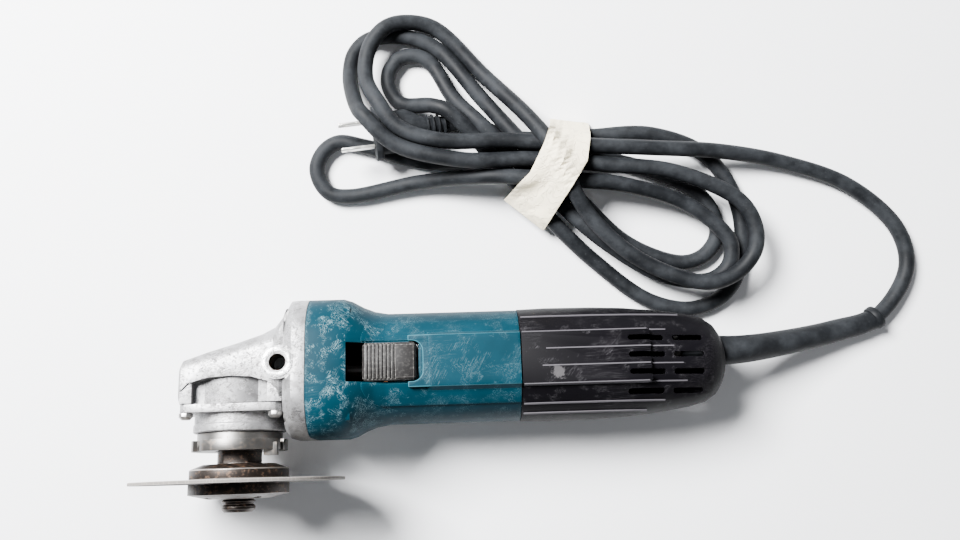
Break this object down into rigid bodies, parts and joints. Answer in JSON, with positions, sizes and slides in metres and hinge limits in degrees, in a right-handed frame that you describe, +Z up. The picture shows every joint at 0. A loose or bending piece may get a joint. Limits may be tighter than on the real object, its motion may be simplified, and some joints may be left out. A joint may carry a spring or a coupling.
{
  "type": "angle grinder",
  "caption": "Corded angle grinder with a cutting disc, lying on its side, with its mains lead bundled beside it and held by a strip of tape.",
  "frame": {"origin": "on the floor, under the middle of the box round the tool without its lead, plug and tape", "axes": "+X from the disc end towards the lead, +Z up, +Y towards the bundled lead"},
  "size_m": [0.3965, 0.2472, 0.0976],
  "materials": {
    "cast_aluminium": "scratched cast",
    "teal_plastic": "scuffed moulded",
    "black_plastic": "worn moulded",
    "rubber": "dusty matte",
    "steel": "machined",
    "worn_steel": "oxidised",
    "abrasive": "coarse grit",
    "copper": "enamelled wire",
    "brass": "plain",
    "carbon": "pressed carbon",
    "laminations": "varnished sheet",
    "tape_paper": "wrinkled paper tape"
  },
  "bodies": {
    "housing": {"bearing_box": "cast_aluminium", "bearing_box_screw_1": "steel", "bearing_box_screw_2": "steel", "bearing_box_screw_3": "steel", "bearing_box_screw_4": "steel", "brush_holder_1": "brass", "brush_holder_2": "brass", "carbon_brush_1": "carbon", "carbon_brush_2": "carbon", "cord_clamp": "black_plastic", "cord_clamp_screw_1": "steel", "cord_clamp_screw_2": "steel", "cord_guard": "rubber", "cord_tail": "rubber", "cord_tape": "tape_paper", "fan_baffle": "black_plastic", "field_coil_1": "copper", "field_coil_2": "copper", "field_core": "laminations", "front_bearing_outer": "steel", "gear_housing": "cast_aluminium", "guard_collar": "steel", "housing_screw_1": "steel", "housing_screw_2": "steel", "housing_screw_3": "steel", "housing_screw_4": "steel", "lock_spring": "steel", "motor_housing": "teal_plastic", "plug_blade_1": "brass", "plug_blade_2": "brass", "plug_body": "rubber", "power_cord": "rubber", "rear_bearing_outer": "steel", "rear_cover": "black_plastic", "rear_cover_screw": "steel", "spindle_bearing_outer": "steel", "spindle_bush": "brass", "switch_body": "black_plastic"},
    "spindle": {"spindle": "worn_steel", "inner_flange": "worn_steel", "cutting_disc": "abrasive", "lock_nut": "worn_steel", "bevel_gear": "steel", "spindle_bearing_inner": "steel"},
    "armature": {"armature_shaft": "steel", "armature_core": "laminations", "armature_winding": "copper", "commutator": "copper", "cooling_fan": "black_plastic", "pinion": "steel", "front_bearing_inner": "steel", "rear_bearing_inner": "steel"},
    "spindle_cage": {"spindle_bearing_balls": "brass"},
    "front_cage": {"front_bearing_balls": "brass"},
    "rear_cage": {"rear_bearing_balls": "brass"},
    "lock_button": {"lock_cap": "black_plastic", "lock_pin": "steel"},
    "switch_slide": {"slide_knob": "black_plastic", "switch_rod": "black_plastic"}
  },
  "joints": [
    {"name": "spindle_spin", "type": "hinge", "parent": "housing", "child": "spindle", "pos_m": [-0.09347, 0.01514, 0.03685], "axis": [0.0078, -0.9727, 0.2319], "continuous": true},
    {"name": "armature_spin", "type": "hinge", "parent": "housing", "child": "armature", "pos_m": [-0.09347, 0.01514, 0.03685], "axis": [0.9994, 0, -0.0336], "continuous": true},
    {"name": "spindle_cage_spin", "type": "hinge", "parent": "housing", "child": "spindle_cage", "pos_m": [-0.09347, 0.01514, 0.03685], "axis": [0.0078, -0.9727, 0.2319], "continuous": true},
    {"name": "front_cage_spin", "type": "hinge", "parent": "housing", "child": "front_cage", "pos_m": [-0.09347, 0.01514, 0.03685], "axis": [0.9994, 0, -0.0336], "continuous": true},
    {"name": "rear_cage_spin", "type": "hinge", "parent": "housing", "child": "rear_cage", "pos_m": [-0.09347, 0.01514, 0.03685], "axis": [0.9994, 0, -0.0336], "continuous": true},
    {"name": "lock_pin_press", "type": "slide", "parent": "housing", "child": "lock_button", "axis": [0.0078, -0.9727, 0.2319], "range_m": [0, 0.0035], "stiffness_N_per_m": 600, "springref_m": -0.001, "deforming": ["lock_spring"]},
    {"name": "switch_slide", "type": "slide", "parent": "housing", "child": "switch_slide", "axis": [-0.9994, 0, 0.0336], "range_m": [0, 0.0065], "stiffness_N_per_m": 250, "springref_m": -0.001}
  ],
  "couplings": [
    {"joint": "armature_spin", "follows": "spindle_spin", "ratio": -3.0833},
    {"joint": "spindle_cage_spin", "follows": "spindle_spin", "ratio": 0.36591},
    {"joint": "front_cage_spin", "follows": "spindle_spin", "ratio": -1.1391},
    {"joint": "rear_cage_spin", "follows": "spindle_spin", "ratio": -1.0792}
  ]
}
